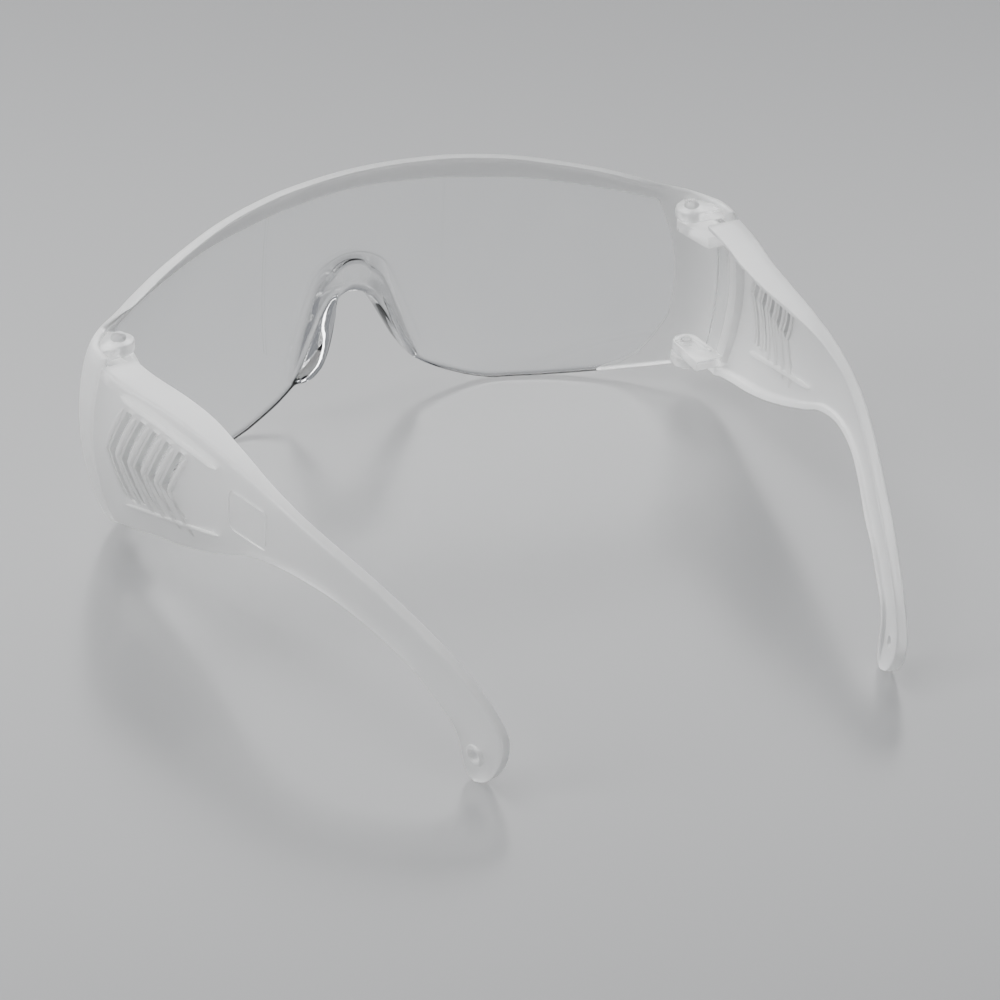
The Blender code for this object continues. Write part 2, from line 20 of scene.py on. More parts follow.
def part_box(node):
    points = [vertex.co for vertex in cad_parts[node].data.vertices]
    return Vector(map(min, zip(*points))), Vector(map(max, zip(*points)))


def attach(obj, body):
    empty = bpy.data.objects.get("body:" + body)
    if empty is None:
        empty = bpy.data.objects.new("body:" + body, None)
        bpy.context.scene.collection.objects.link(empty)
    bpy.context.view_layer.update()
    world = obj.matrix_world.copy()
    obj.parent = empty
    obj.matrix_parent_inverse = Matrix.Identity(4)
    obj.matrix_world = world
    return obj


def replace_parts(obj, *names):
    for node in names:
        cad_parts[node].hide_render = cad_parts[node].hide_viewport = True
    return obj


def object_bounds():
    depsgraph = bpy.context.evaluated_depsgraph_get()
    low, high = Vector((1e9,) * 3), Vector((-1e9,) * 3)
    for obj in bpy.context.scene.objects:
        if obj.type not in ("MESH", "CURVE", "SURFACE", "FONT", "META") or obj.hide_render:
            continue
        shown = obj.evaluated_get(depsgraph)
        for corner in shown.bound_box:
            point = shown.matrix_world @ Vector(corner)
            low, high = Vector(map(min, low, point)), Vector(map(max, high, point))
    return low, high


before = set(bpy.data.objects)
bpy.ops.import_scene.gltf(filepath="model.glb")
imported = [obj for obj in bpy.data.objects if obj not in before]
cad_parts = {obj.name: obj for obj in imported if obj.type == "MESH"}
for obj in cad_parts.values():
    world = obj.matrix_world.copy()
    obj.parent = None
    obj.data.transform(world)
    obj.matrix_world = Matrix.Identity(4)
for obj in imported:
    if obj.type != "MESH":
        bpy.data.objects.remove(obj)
CAD_LOW, CAD_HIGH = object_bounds()
print("CAD box", [round(v, 4) for v in (*CAD_LOW, *CAD_HIGH)])

# %% [markdown]
# ## The skin
#
# The plan curve could be one spline, but the mould maker built it from arcs: a flat front, a
# tight corner, a long side. Arcs are easy to measure along, so a run on the curve is exact. The
# bulge is an arc in the other direction whose radius changes from the front to the temple tip.

# %% Measures of the skin
MM = 0.001
FRONT_RADIUS = 132 * MM
FRONT_HALF_CHORD = 77 * MM
CORNER_RADIUS = 16.5 * MM
SIDE_RADIUS = 110 * MM
SIDE_TURN = math.radians(11)
PANEL_RUN = 42 * MM
ARM_RADIUS = 170 * MM
ARM_TURN = math.radians(9)
BULGE_RADIUS = [
    (0, 150), (31, 134), (60, 90), (100, 57), (125, 36), (165, 45), (200, 70), (240, 200),
]
BULGE_CREST = [
    (0, 32), (31, 31.5), (60, 30), (100, 30), (125, 31), (165, 35), (200, 36), (240, 12),
]
HINGE_SETBACK = 33.2 * MM
SEAM_SETBACK = 8.3 * MM


def smooth(points, x):
    """Value at x of a smooth curve through (x, value) points, without overshoot."""
    if x <= points[0][0]:
        return points[0][1]
    if x >= points[-1][0]:
        return points[-1][1]
    i = max(k for k in range(len(points) - 1) if points[k][0] <= x)
    slopes = [(b[1] - a[1]) / (b[0] - a[0]) for a, b in zip(points, points[1:])]

    def tangent(k):
        if k == 0:
            return 0.0 if points[0][0] == 0 else slopes[0]
        if k == len(points) - 1:
            return slopes[-1]
        before, after = slopes[k - 1], slopes[k]
        return 0.0 if before * after <= 0 else 2 * before * after / (before + after)

    (x0, y0), (x1, y1) = points[i], points[i + 1]
    h = x1 - x0
    t = (x - x0) / h
    start, end = tangent(i) * h, tangent(i + 1) * h
    rise = y1 - y0
    return y0 + t * (start + t * (3 * rise - 2 * start - end + t * (start + end - 2 * rise)))


def smooth_mm(points, x):
    """The same for a list in millimetres, with x and the value in metres."""
    return smooth(points, x / MM) * MM


def clamp(value, low=0.0, high=1.0):
    return max(low, min(high, value))


def ease(start, end, x):
    """0 before start, 1 after end, and a soft rise between them."""
    t = clamp((x - start) / (end - start))
    return t * t * (3 - 2 * t)


# %% The plan curve
FRONT_TURN = math.asin(FRONT_HALF_CHORD / FRONT_RADIUS)
STRETCHES = [
    (FRONT_TURN * FRONT_RADIUS, FRONT_RADIUS),
    ((math.pi / 2 - FRONT_TURN) * CORNER_RADIUS, CORNER_RADIUS),
    (SIDE_TURN * SIDE_RADIUS, SIDE_RADIUS),
    (PANEL_RUN, None),
    (ARM_TURN * ARM_RADIUS, ARM_RADIUS),
    (1.0, None),
]


def plan(run):
    """(x, y, heading) of the plan curve at a run. The front of the glasses is at y = 0."""
    side = -1 if run < 0 else 1
    left = abs(run)
    x, y, heading = 0.0, 0.0, 0.0
    for length, radius in STRETCHES:
        part = min(left, length)
        if radius is None:
            x += part * math.cos(heading)
            y += part * math.sin(heading)
        else:
            turned = heading + part / radius
            x += radius * (math.sin(turned) - math.sin(heading))
            y += radius * (math.cos(heading) - math.cos(turned))
            heading = turned
        left -= part
        if left <= 0:
            break
    return side * x, y, side * heading


def run_to(setback):
    """Run at which the side of the plan curve is this far behind the front."""
    low, high = 0.0, 0.6
    for _ in range(50):
        middle = (low + high) / 2
        if plan(middle)[1] < setback:
            low = middle
        else:
            high = middle
    return low


def behind_hinge(distance):
    return run_to(HINGE_SETBACK + distance)


HINGE_RUN = run_to(HINGE_SETBACK)
SEAM_RUN = behind_hinge(SEAM_SETBACK)
print(f"hinge at run {HINGE_RUN / MM:.1f} mm, seam at run {SEAM_RUN / MM:.1f} mm")

# %% [markdown]
# ## Bending a piece on to the skin
#
# bend() turns one flat point into its place on the glasses. The brow of the shield also curls
# back towards the forehead, which is one more inward shift near the top edge. The part's box
# gives the place of the skin in the shared frame: its front is the lowest y of the whole part.

# %% bend
SHIELD_WALL = 2.2 * MM
BROW_BAND = 7.2 * MM
BROW_CURL = 3.0 * MM
BROW_FADE_START = 75 * MM
SHIELD_TOP = [
    (0, 62.0), (21, 61.4), (31, 60.5), (41, 59.3), (50, 57.8), (60, 56.0),
    (70, 53.6), (80, 50.8), (92, 48.4), (112, 47.8),
]
SHIELD_BOTTOM = [
    (0, 27.5), (3, 26.8), (5.5, 23.8), (8, 19.0), (11.5, 12.8), (15.5, 8.0), (21, 4.5),
    (26.5, 2.3), (32, 0.7), (37, 0), (45, 0), (52, 0.3), (60, 1.0), (72, 2.6), (85, 4.6), (112, 6.1),
]
SKIN_PLACE = Vector((0, CAD_LOW.y, CAD_LOW.z))


def bulge_in(run, height):
    radius = smooth_mm(BULGE_RADIUS, abs(run))
    crest = smooth_mm(BULGE_CREST, abs(run))
    return (height - crest) ** 2 / (2 * radius)


def brow_in(run, height):
    rise = height - (smooth_mm(SHIELD_TOP, abs(run)) - BROW_BAND)
    fade = clamp((HINGE_RUN - abs(run)) / (HINGE_RUN - BROW_FADE_START))
    return BROW_CURL * (max(0.0, rise) / BROW_BAND) ** 2 * fade


def bend(run, height, depth, curl=False):
    """The place on the glasses of a flat point."""
    x, y, heading = plan(run)
    inward = depth + bulge_in(run, height) + (brow_in(run, height) if curl else 0.0)
    side = -1 if run < 0 else 1
    x -= side * math.sin(abs(heading)) * inward
    y += math.cos(heading) * inward
    return Vector((x, y, height)) + SKIN_PLACE


# %% [markdown]
# ## Materials: a small language for shader maths
#
# A node tree drawn by hand is hard to read again. So one class wraps a socket: adding or
# multiplying two of them adds the Math node and returns its output. One method makes every other
# node from its type, its settings and the values or links of its sockets.

# %% Value and Finish
class Value:
    """A socket that can stand in a formula."""

    def __init__(self, finish, socket):
        self.finish, self.socket = finish, socket

    def maths(self, operation, a, b):
        settings = {"operation": operation}
        return self.finish.node("ShaderNodeMath", settings, {0: a, 1: b})

    def __add__(self, other):
        return self.maths("ADD", self, other)

    __radd__ = __add__

    def __mul__(self, other):
        return self.maths("MULTIPLY", self, other)

    __rmul__ = __mul__

    def at_least(self, other):
        return self.maths("MAXIMUM", self, other)

    def at_most(self, other):
        return self.maths("MINIMUM", self, other)


class Finish:
    """A material with an empty tree, and the one way to add a node to it."""

    def __init__(self, name):
        self.material = bpy.data.materials.new(name)
        self.material.use_nodes = True
        self.tree = self.material.node_tree
        self.tree.nodes.clear()

    def node(self, kind, settings=None, inputs=None, output=0):
        made = self.tree.nodes.new(kind)
        for name, value in (settings or {}).items():
            if name == "stops":
                ramp = made.color_ramp.elements
                while len(ramp) < len(value):
                    ramp.new(1.0)
                for stop, (place, grey) in zip(ramp, value):
                    stop.position, stop.color = place, (grey, grey, grey, 1)
            else:
                setattr(made, name, value)
        for name, value in (inputs or {}).items():
            if isinstance(value, Value):
                self.tree.links.new(value.socket, made.inputs[name])
            else:
                made.inputs[name].default_value = value
        return None if output is None else Value(self, made.outputs[output])

    def place(self):
        return self.node("ShaderNodeTexCoord", output="Object")

    def noise(self, place, scale, detail=2.0, stretch=(1, 1, 1)):
        if stretch != (1, 1, 1):
            place = self.node("ShaderNodeMapping", inputs={"Vector": place, "Scale": stretch})
        inputs = {"Vector": place, "Scale": scale, "Detail": detail}
        return self.node("ShaderNodeTexNoise", inputs=inputs)

    def ramp(self, value, *stops):
        return self.node("ShaderNodeValToRGB", {"stops": stops}, {"Fac": value})

    def tint(self, share, one, other):
        inputs = {0: share, 6: (*one, 1), 7: (*other, 1)}
        return self.node("ShaderNodeMix", {"data_type": "RGBA"}, inputs, output=2)

    def bump(self, height, distance, strength=1.0):
        inputs = {"Height": height, "Distance": distance, "Strength": strength}
        return self.node("ShaderNodeBump", inputs=inputs)

    def mix(self, share, one, other):
        return self.node("ShaderNodeMixShader", inputs={0: share, 1: one, 2: other})

    def end(self, surface):
        self.node("ShaderNodeOutputMaterial", inputs={"Surface": surface}, output=None)
        return self.material


# %% [markdown]
# ## Clear and frosted polycarbonate
#
# Both are one plastic. The mould is polished where the window is and blasted with grit where the
# plastic should look frosted. A polished face is glass with a very low roughness, a few wiping
# marks and hairline scratches. A blasted face scatters light both ways: part of it glows like
# white paint, part lets a blurred light through. Fine grain goes into a bump.
#
# The shell of a frosted wall looks whiter at a grazing angle, so two strengths of frost are mixed
# by how far the face turns away.
#
# Clear plastic hardly holds lamp light back, but glass in a path tracer throws a dark shadow. A
# Light Path node lets the shadow rays of lamps through instead.

# %% The two finishes
PLASTIC_IOR = 1.585
GRAIN_SCALE = 3200.0
CLOUD_SCALE = 55.0
SCRATCH_SCALE = 120.0


def polished(finish):
    """Shader of the clear faces."""
    place = finish.place()
    smudge = finish.ramp(finish.noise(place, CLOUD_SCALE, 3.0), (0.45, 0.0), (0.75, 1.0))
    hair = finish.noise(place, SCRATCH_SCALE, 4.0, stretch=(1.0, 14.0, 9.0))
    scratch = finish.ramp(hair, (0.66, 0.0), (0.72, 1.0))
    wave = finish.noise(place, CLOUD_SCALE * 0.6, 1.0)
    return finish.node("ShaderNodeBsdfPrincipled", inputs={
        "Base Color": finish.tint(smudge, (0.985, 0.992, 0.995), (0.96, 0.97, 0.975)),
        "Roughness": smudge * 0.03 + scratch * 0.08 + 0.012,
        "IOR": PLASTIC_IOR,
        "Transmission Weight": 1.0,
        "Normal": finish.bump(wave + scratch * 0.02, 0.00025, 0.35),
    })


def blasted(finish, see_through, grain_depth=0.00004):
    """Shader of the frosted faces. see_through is the share of light that passes."""
    place = finish.place()
    grain = finish.noise(place, GRAIN_SCALE, 2.0)
    cloud = finish.noise(place, CLOUD_SCALE, 3.0)
    flow = finish.noise(place, CLOUD_SCALE * 0.5, 2.0, stretch=(3.0, 1.0, 4.0))
    return finish.node("ShaderNodeBsdfPrincipled", inputs={
        "Base Color": finish.tint(cloud * 0.6 + flow * 0.4, (0.97, 0.97, 0.965), (0.91, 0.915, 0.915)),
        "Roughness": grain * 0.16 + cloud * 0.10 + 0.26,
        "IOR": PLASTIC_IOR,
        "Transmission Weight": see_through,
        "Normal": finish.bump(grain * 0.7 + flow * 0.3, grain_depth, 0.5),
    })


def let_lamps_through(finish, surface, tint):
    shadow = finish.node("ShaderNodeLightPath", output="Is Shadow Ray")
    open_air = finish.node("ShaderNodeBsdfTransparent", inputs={"Color": (*tint, 1)})
    return finish.mix(shadow, surface, open_air)


def frosted_shell(finish, straight, grazing):
    """Blasted plastic that lets light through straight on and looks white at a grazing angle."""
    graze = finish.node("ShaderNodeLayerWeight", inputs={"Blend": 0.3}, output="Facing")
    return finish.mix(graze, blasted(finish, straight), blasted(finish, grazing))


def make_clear():
    """Ears and pins: straight from the mould, glossy but a little milky."""
    finish = Finish("clear_polycarbonate_moulded")
    cloud = finish.ramp(finish.noise(finish.place(), 240.0, 2.0), (0.3, 0.22), (0.7, 0.42))
    both = finish.mix(cloud, polished(finish), blasted(finish, 0.3))
    return finish.end(let_lamps_through(finish, both, (0.85, 0.85, 0.85)))


def make_frosted():
    """Blasted, but polished on the lap and the knuckles ahead of the seam."""
    finish = Finish("frosted_polycarbonate_blasted")
    body = finish.node("ShaderNodeAttribute", {"attribute_name": "behind_seam"}, output="Fac")
    share = (body * 2.0 + 0.25).at_least(0.25).at_most(1.0)
    both = finish.mix(share, polished(finish), frosted_shell(finish, 0.85, 0.1))
    return finish.end(let_lamps_through(finish, both, (0.6, 0.6, 0.6)))


def make_shield():
    """Polished in the window, blasted round it. The mask is measured on the mesh, in mm."""
    finish = Finish("clear_polycarbonate_shield")
    edge = finish.node("ShaderNodeAttribute", {"attribute_name": "frost_edge"}, output="Fac")
    frost = (edge * 4.0 + 0.5).at_least(0.0).at_most(1.0)
    both = finish.mix(frost, polished(finish), frosted_shell(finish, 0.85, 0.1))
    return finish.end(let_lamps_through(finish, both, (0.85, 0.85, 0.85)))


CLEAR = make_clear()
FROSTED = make_frosted()
SHIELD_FINISH = make_shield()
print("finishes:", [m.name for m in (CLEAR, FROSTED, SHIELD_FINISH)])


# %% [markdown]
# ## Mesh helpers
#
# Every moulding is a loft: a list of closed rings with the same number of points, joined by
# quads and shut at both ends. Prisms cut slots and holes. A cut needs a Boolean, and the EXACT
# solver keeps the walls closed.

# %% Loft, prism, combine
def new_object(name, bm):
    mesh = bpy.data.meshes.new(name)
    bm.to_mesh(mesh)
    bm.free()
    made = bpy.data.objects.new(name, mesh)
    bpy.context.scene.collection.objects.link(made)
    return made


def loft(rings, name, marks=None, mark_name="", folded=True):
    """Closed solid through rings of points. marks is one number for each point. The ends of a
    folded ring are shut by quads between its two halves, and others by one face."""
    bm = bmesh.new()
    layer = bm.verts.layers.float.new(mark_name) if marks else None
    rows = []
    for i, ring in enumerate(rings):
        row = []
        for k, point in enumerate(ring):
            vert = bm.verts.new(point)
            if marks:
                vert[layer] = marks[i][k]
            row.append(vert)
        rows.append(row)
    count = len(rings[0])
    for a, b in zip(rows, rows[1:]):
        for k in range(count):
            bm.faces.new((a[k], a[(k + 1) % count], b[(k + 1) % count], b[k]))
    for row in (rows[0], rows[-1]):
        if not folded:
            bm.faces.new(row)
            continue
        for k in range((count - 1) // 2):
            corners = (row[k], row[k + 1], row[count - 2 - k], row[count - 1 - k])
            bm.faces.new(list(dict.fromkeys(corners)))
    bmesh.ops.recalc_face_normals(bm, faces=bm.faces)
    return new_object(name, bm)


def prism(outline, low, high, name="prism"):
    """Solid between two levels of the third coordinate, from an outline in the first two."""
    bm = bmesh.new()
    face = bm.faces.new([bm.verts.new((a, b, low)) for a, b in outline])
    grown = bmesh.ops.extrude_face_region(bm, geom=[face])
    top = [v for v in grown["geom"] if isinstance(v, bmesh.types.BMVert)]
    bmesh.ops.translate(bm, verts=top, vec=(0, 0, high - low))
    bmesh.ops.recalc_face_normals(bm, faces=bm.faces)
    return new_object(name, bm)


def evaluated_mesh(obj):
    bpy.context.view_layer.update()
    graph = bpy.context.evaluated_depsgraph_get()
    return bpy.data.meshes.new_from_object(obj.evaluated_get(graph))


def combine(target, others, operation):
    """Boolean each of the others into the target and remove it."""
    for other in others:
        modifier = target.modifiers.new("combine", "BOOLEAN")
        modifier.operation = operation
        modifier.object = other
        modifier.solver = "EXACT"
        result = evaluated_mesh(target)
        target.modifiers.clear()
        target.data = result
        bpy.data.objects.remove(other)
    return target


def circle(centre, radius, segments=40):
    return [
        (centre[0] + radius * math.cos(2 * math.pi * k / segments),
         centre[1] + radius * math.sin(2 * math.pi * k / segments))
        for k in range(segments)
    ]


def finished(obj, body, finish, sharp=35):
    """Shading, material and the place of a piece in the assembly."""
    obj.data.materials.clear()
    obj.data.materials.append(finish)
    obj.data.shade_smooth()
    obj.data.set_sharp_from_angle(angle=math.radians(sharp))
    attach(obj, body)
    print(f"{obj.name}: {len(obj.data.polygons)} faces on {body}")
    return obj


# %% [markdown]
# ## The shield
#
# The real shield is one injection moulding. The window, the curled brow, the nose rim and the
# side returns run into each other with no joint. It could be a subdivided cage, but then the
# outline would be hard to measure. Here each column of the shield is one closed section. It
# starts at the top lip, runs down the outer face to the bottom edge, turns there, and climbs
# back up the inner face. Near the nose the columns leave the bottom edge at a right angle, so
# that the rim follows the notch cleanly.

# %% Measures of the shield
EDGE_STRIP = 12.5 * MM
STRIP_ROWS = 22
PANEL_ROWS = 30
RIM_CREST = [(0, 2.6), (3, 2.1), (4.5, 1.7), (5.5, 1.3), (8, 0.8), (10, 0.6), (14, 0.8), (16.5, 0.5)]
RIM_STAND = [
    (0, 2.0), (3, 2.4), (4, 3.7), (5.4, 4.8), (6.5, 5.5), (7.5, 5.9), (9, 6.25), (10.8, 6.2),
    (12.1, 5.7), (13.7, 4.5), (15, 2.6), (16.3, 0.4),
]
RIM_FOOT = [
    (0, 8.4), (1.5, 7.8), (3, 6.3), (4.5, 5.4), (6.5, 4.6), (8.6, 4.1), (10.8, 3.4), (13.7, 2.2),
    (16.3, 1.2),
]
RIM_SHOULDER = 1.25
OUTLINE_GROOVE = [
    (0, 10.0), (3, 9.4), (4, 8.3), (5, 7.7), (6.3, 7.2), (9, 6.5), (11.6, 5.7), (14, 4.5), (17, 2.4),
]
WINDOW_SIDE = [
    (0, 60.0), (1.7, 62.7), (3.7, 67.7), (6.8, 72.5), (11.7, 76.6), (16.8, 79.3),
    (26.9, 80.2), (34.9, 79.4), (42, 77.4), (49.7, 74.6), (62, 70.0),
]
BROW_DEPTH = [(0, 6.4), (20, 7.0), (31, 7.3), (49, 6.7), (58, 6.6), (70, 6.0), (80, 5.0)]


def shield_runs():
    """Runs of the columns along the bottom edge, closer together round the nose."""
    stops = ((0, 18 * MM, 56), (18 * MM, 76 * MM, 58), (76 * MM, SEAM_RUN, 30))
    runs = []
    for start, end, steps in stops:
        runs += [start + (end - start) * k / steps for k in range(steps)]
    return runs + [SEAM_RUN]


def strip_direction(run):
    """Unit vector from the bottom edge into the plastic."""
    step = 0.4 * MM
    rise = smooth_mm(SHIELD_BOTTOM, abs(run) + step) - smooth_mm(SHIELD_BOTTOM, abs(abs(run) - step))
    out = Vector((-rise, 2 * step)).normalized()
    return Vector((-out.x if run < 0 else out.x, out.y))


def frost_edge(run, height):
    """Distance in mm outside the clear window, less than 0 inside it."""
    side = (abs(run) - smooth_mm(WINDOW_SIDE, height)) / MM
    rise = height - (smooth_mm(SHIELD_TOP, abs(run)) - smooth_mm(BROW_DEPTH, abs(run)))
    return clamp(max(side, rise / MM), -2, 2)


# %% [markdown]
# The nose rim is a thick rounded flange that rises behind the notch and falls back to the
# window. Its section is a list of points, (distance from the notch, depth), which fades into a
# plain rounded edge further along. A fine groove runs round it where the two halves of the real
# mould insert meet. The brow lip is made the same way at the other end of the column.

# %% One column of the shield
WALL = SHIELD_WALL / MM
GROOVE_DEPTH = 0.14


def rim_section(run):
    """(distance, depth) in mm round the bottom edge, from the outer face to the inner face."""
    e = abs(run) / MM
    crest, stand, foot = smooth(RIM_CREST, e), smooth(RIM_STAND, e), smooth(RIM_FOOT, e)
    share = 1 - ease(14.5, 17.5, e)
    low = RIM_SHOULDER * share
    fall = foot - crest - 0.65
    rim = [(0.9, 0), (0.34, 0.05), (0.08, 0.3), (-0.02, 0.9), (0.0, 1.7)]
    rim += [(crest * a, WALL + stand * b) for a, b in ((0.1, 0.15), (0.3, 0.45), (0.6, 0.76), (0.9, 0.94))]
    rim += [(crest + 0.25, WALL + stand), (crest + 0.65, WALL + 0.97 * stand)]
    rim += [(crest + 0.65 + fall * a, WALL + stand + (low - stand) * b)
            for a, b in ((0.2, 0.34), (0.5, 0.7), (0.8, 0.94))]
    rim += [(foot, WALL + 0.85 * low), (foot + 0.25, WALL + 0.4 * low), (foot + 0.6, WALL)]
    plain = [(0.9, 0), (0.5, 0.05), (0.2, 0.25), (0.05, 0.6), (0, 1.1), (0.05, 1.6), (0.2, 1.95),
             (0.5, 2.15)]
    left = len(rim) - len(plain)
    plain += [(0.9 + (foot - 0.3) * k / (left - 1), WALL) for k in range(left)]
    return [(a * share + c * (1 - share), b * share + d * (1 - share))
            for (a, b), (c, d) in zip(rim, plain)]


def groove_section(run):
    e = abs(run) / MM
    deep = WALL - GROOVE_DEPTH * (1 - ease(15.0, 17.5, e))
    centre = max(smooth(OUTLINE_GROOVE, e), smooth(RIM_FOOT, e) + 1.2)
    return [(centre - 0.3, WALL), (centre - 0.1, deep), (centre + 0.1, deep), (centre + 0.3, WALL)]


def lip_section(run):
    """(distance below the top, depth) in mm over the top edge, from the outer to the inner face."""
    share = 1 - ease(66, 84, abs(run) / MM)
    lip = [(1.6, 0), (0.9, 0.02), (0.4, 0.14), (0.12, 0.45), (0, 0.95), (0, 1.7), (0.12, 2.35),
           (0.5, 2.8), (1.0, 2.95), (1.5, 2.9), (1.9, 2.6), (2.1, 2.3), (2.4, WALL)]
    plain = [(1.6, 0), (0.9, 0.02), (0.4, 0.15), (0.12, 0.45), (0, 0.85), (0, 1.35), (0.12, 1.75),
             (0.4, 2.05), (0.8, 2.18), (1.2, WALL), (1.6, WALL), (2.0, WALL), (2.4, WALL)]
    return [(a * share + c * (1 - share), b * share + d * (1 - share))
            for (a, b), (c, d) in zip(lip, plain)]


def shield_column(run, thin):
    """Flat points of one closed section. thin squeezes the wall towards its middle."""
    foot = Vector((run, smooth_mm(SHIELD_BOTTOM, abs(run))))
    out = strip_direction(run)
    head = foot + out * EDGE_STRIP
    top = smooth_mm(SHIELD_TOP, abs(head.x))
    lip, rim, groove = lip_section(head.x), rim_section(run), groove_section(run)
    middle = [t for t, d in enumerate(lip) if t == 4][0]

    def strip(s, depth):
        point = foot + out * (s * MM)
        return (point.x, point.y, depth)

    def panel(k, low, high, depth):
        return (head.x, low + (high - low) * k / PANEL_ROWS, depth)

    flat = [(head.x, top - t * MM, d) for t, d in reversed(lip[:middle + 1])]
    outer_top = top - lip[0][0] * MM
    flat += [panel(k, outer_top, head.y, 0) for k in range(1, PANEL_ROWS + 1)]
    reach = EDGE_STRIP / MM
    flat += [strip(reach + (rim[0][0] - reach) * k / STRIP_ROWS, 0) for k in range(1, STRIP_ROWS)]
    flat += [strip(s, d) for s, d in rim]
    flat += [strip(s, d) for s, d in groove]
    rows = STRIP_ROWS // 2
    start = groove[-1][0]
    flat += [strip(start + (reach - start) * k / rows, WALL) for k in range(1, rows + 1)]
    inner_top = top - lip[-1][0] * MM
    flat += [panel(k, head.y, inner_top, WALL) for k in range(1, PANEL_ROWS)]
    flat += [(head.x, top - t * MM, d) for t, d in reversed(lip[middle + 1:])]
    half = WALL / 2
    return [(r, h, (half + (d - half) * thin) * MM) for r, h, d in flat]


def build_shield():
    end_round = 0.9 * MM
    half = [(run, 1.0) for run in shield_runs() if run < SEAM_RUN - end_round * 1.4]
    for k in range(6):
        angle = math.pi / 2 * k / 5
        run = SEAM_RUN - end_round * (1 - math.sin(angle))
        half.append((run, max(0.1, math.cos(angle))))
    columns = [(-run, thin) for run, thin in reversed(half[1:])] + half
    flats = [shield_column(run, thin) for run, thin in columns]
    rings = [[bend(*point, curl=True) for point in flat] for flat in flats]
    marks = [[frost_edge(point[0], point[1]) for point in flat] for flat in flats]
    return loft(rings, "shield_moulding", marks, "frost_edge")


shield = build_shield()
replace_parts(finished(shield, "front", SHIELD_FINISH, sharp=60), "shield")
print("shield vertices", len(shield.data.vertices))

# %% [markdown]
# ## Ears and pins
#
# Two ears stand inside each corner of the shield, and a pin drops through each. An ear is a disc
# drawn out to the side wall, so it is a prism round a convex outline, with its edges broken by a
# small bevel. The four pins are one turned shape repeated. A node group sets a copy on each seat,
# upside down at the bottom.

# %% Ears
UPPER_EAR = (45.0 * MM, 47.6 * MM)
UPPER_KNUCKLE = (41.6 * MM, 44.6 * MM)
LOWER_KNUCKLE = (9.6 * MM, 12.2 * MM)
LOWER_EAR = (6.4 * MM, 9.2 * MM)
EAR_RADIUS = 3.7 * MM
EAR_REACH_FRONT, EAR_REACH_BACK = 8.0 * MM, 4.5 * MM
PIN_RADIUS = 1.1 * MM
FIT = 0.3 * MM


def hinge_point(side):
    """(x, y) of a hinge axis, from the pin that the model carries there."""
    low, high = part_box("hinge_pin_left_upper" if side > 0 else "hinge_pin_right_upper")
    return (low.x + high.x) / 2, (low.y + high.y) / 2


def hull(points):
    """Convex outline round 2-D points."""
    points = sorted(set(points))

    def half(ordered):
        kept = []
        for p in ordered:
            while len(kept) > 1:
                (ax, ay), (bx, by) = kept[-2], kept[-1]
                if (bx - ax) * (p[1] - ay) - (by - ay) * (p[0] - ax) > 1e-12:
                    break
                kept.pop()
            kept.append(p)
        return kept[:-1]

    return half(points) + half(points[::-1])


def bevel(obj, width, segments=2, angle=40):
    """Round the sharp edges and keep the result as the mesh."""
    modifier = obj.modifiers.new("edges", "BEVEL")
    modifier.width, modifier.segments = width, segments
    modifier.limit_method = "ANGLE"
    modifier.angle_limit = math.radians(angle)
    result = evaluated_mesh(obj)
    obj.modifiers.clear()
    obj.data = result
    return obj


def bore(side, levels):
    outline = circle(hinge_point(side), PIN_RADIUS + FIT)
    return prism(outline, levels[0] - 2 * MM, levels[1] + 2 * MM, "bore")


def build_ear(side, levels, name):
    middle = (levels[0] + levels[1]) / 2
    wall = []
    for k in range(9):
        setback = HINGE_SETBACK - EAR_REACH_FRONT + (EAR_REACH_FRONT + EAR_REACH_BACK) * k / 8
        point = bend(side * run_to(setback), middle, SHIELD_WALL / 2)
        wall.append((point.x, point.y))
    ear = prism(hull(circle(hinge_point(side), EAR_RADIUS) + wall), *levels, name=name)
    bevel(ear, 0.45 * MM, 3)
    return combine(ear, [bore(side, levels)], "DIFFERENCE")


for side, hand in ((1, "left"), (-1, "right")):
    for levels, where in ((UPPER_EAR, "upper"), (LOWER_EAR, "lower")):
        ear = build_ear(side, levels, f"ear_{hand}_{where}")
        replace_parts(finished(ear, "front", CLEAR), "shield")


# %% [markdown]
# A node group is written once, with named inputs for its sizes. The helper below makes one from
# a list of inputs, and hands back the group and its input node. A modifier's input is set by its
# identifier. The result is made a plain mesh, and the modifier is gone.

